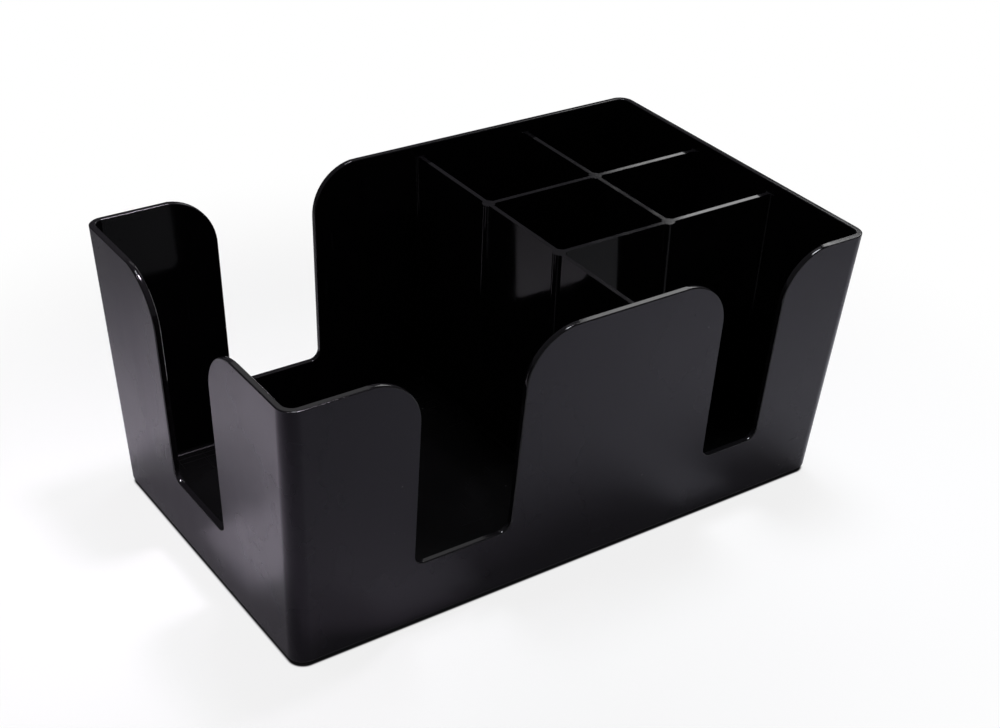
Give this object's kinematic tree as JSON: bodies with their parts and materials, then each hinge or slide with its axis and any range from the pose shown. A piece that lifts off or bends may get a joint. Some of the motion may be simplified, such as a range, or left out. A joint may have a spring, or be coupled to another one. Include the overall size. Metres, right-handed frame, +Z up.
{
  "type": "bar caddy",
  "caption": "Open-topped moulded tabletop caddy with a square napkin bay, small divided bays and finger cut-outs in its leaning walls, standing on rubber feet.",
  "frame": {"origin": "middle of the footprint on the table, under the feet", "axes": "+X along the length towards the divided end, +Y to the back, +Z up"},
  "size_m": [0.24, 0.148, 0.1065],
  "materials": {
    "black_plastic": "polished inside, fine satin texture outside",
    "foot_rubber": "matte"
  },
  "bodies": {
    "root": {"caddy_body": "black_plastic", "foot_front_left": "foot_rubber", "foot_front_right": "foot_rubber", "foot_back_left": "foot_rubber", "foot_back_right": "foot_rubber"}
  },
  "joints": []
}
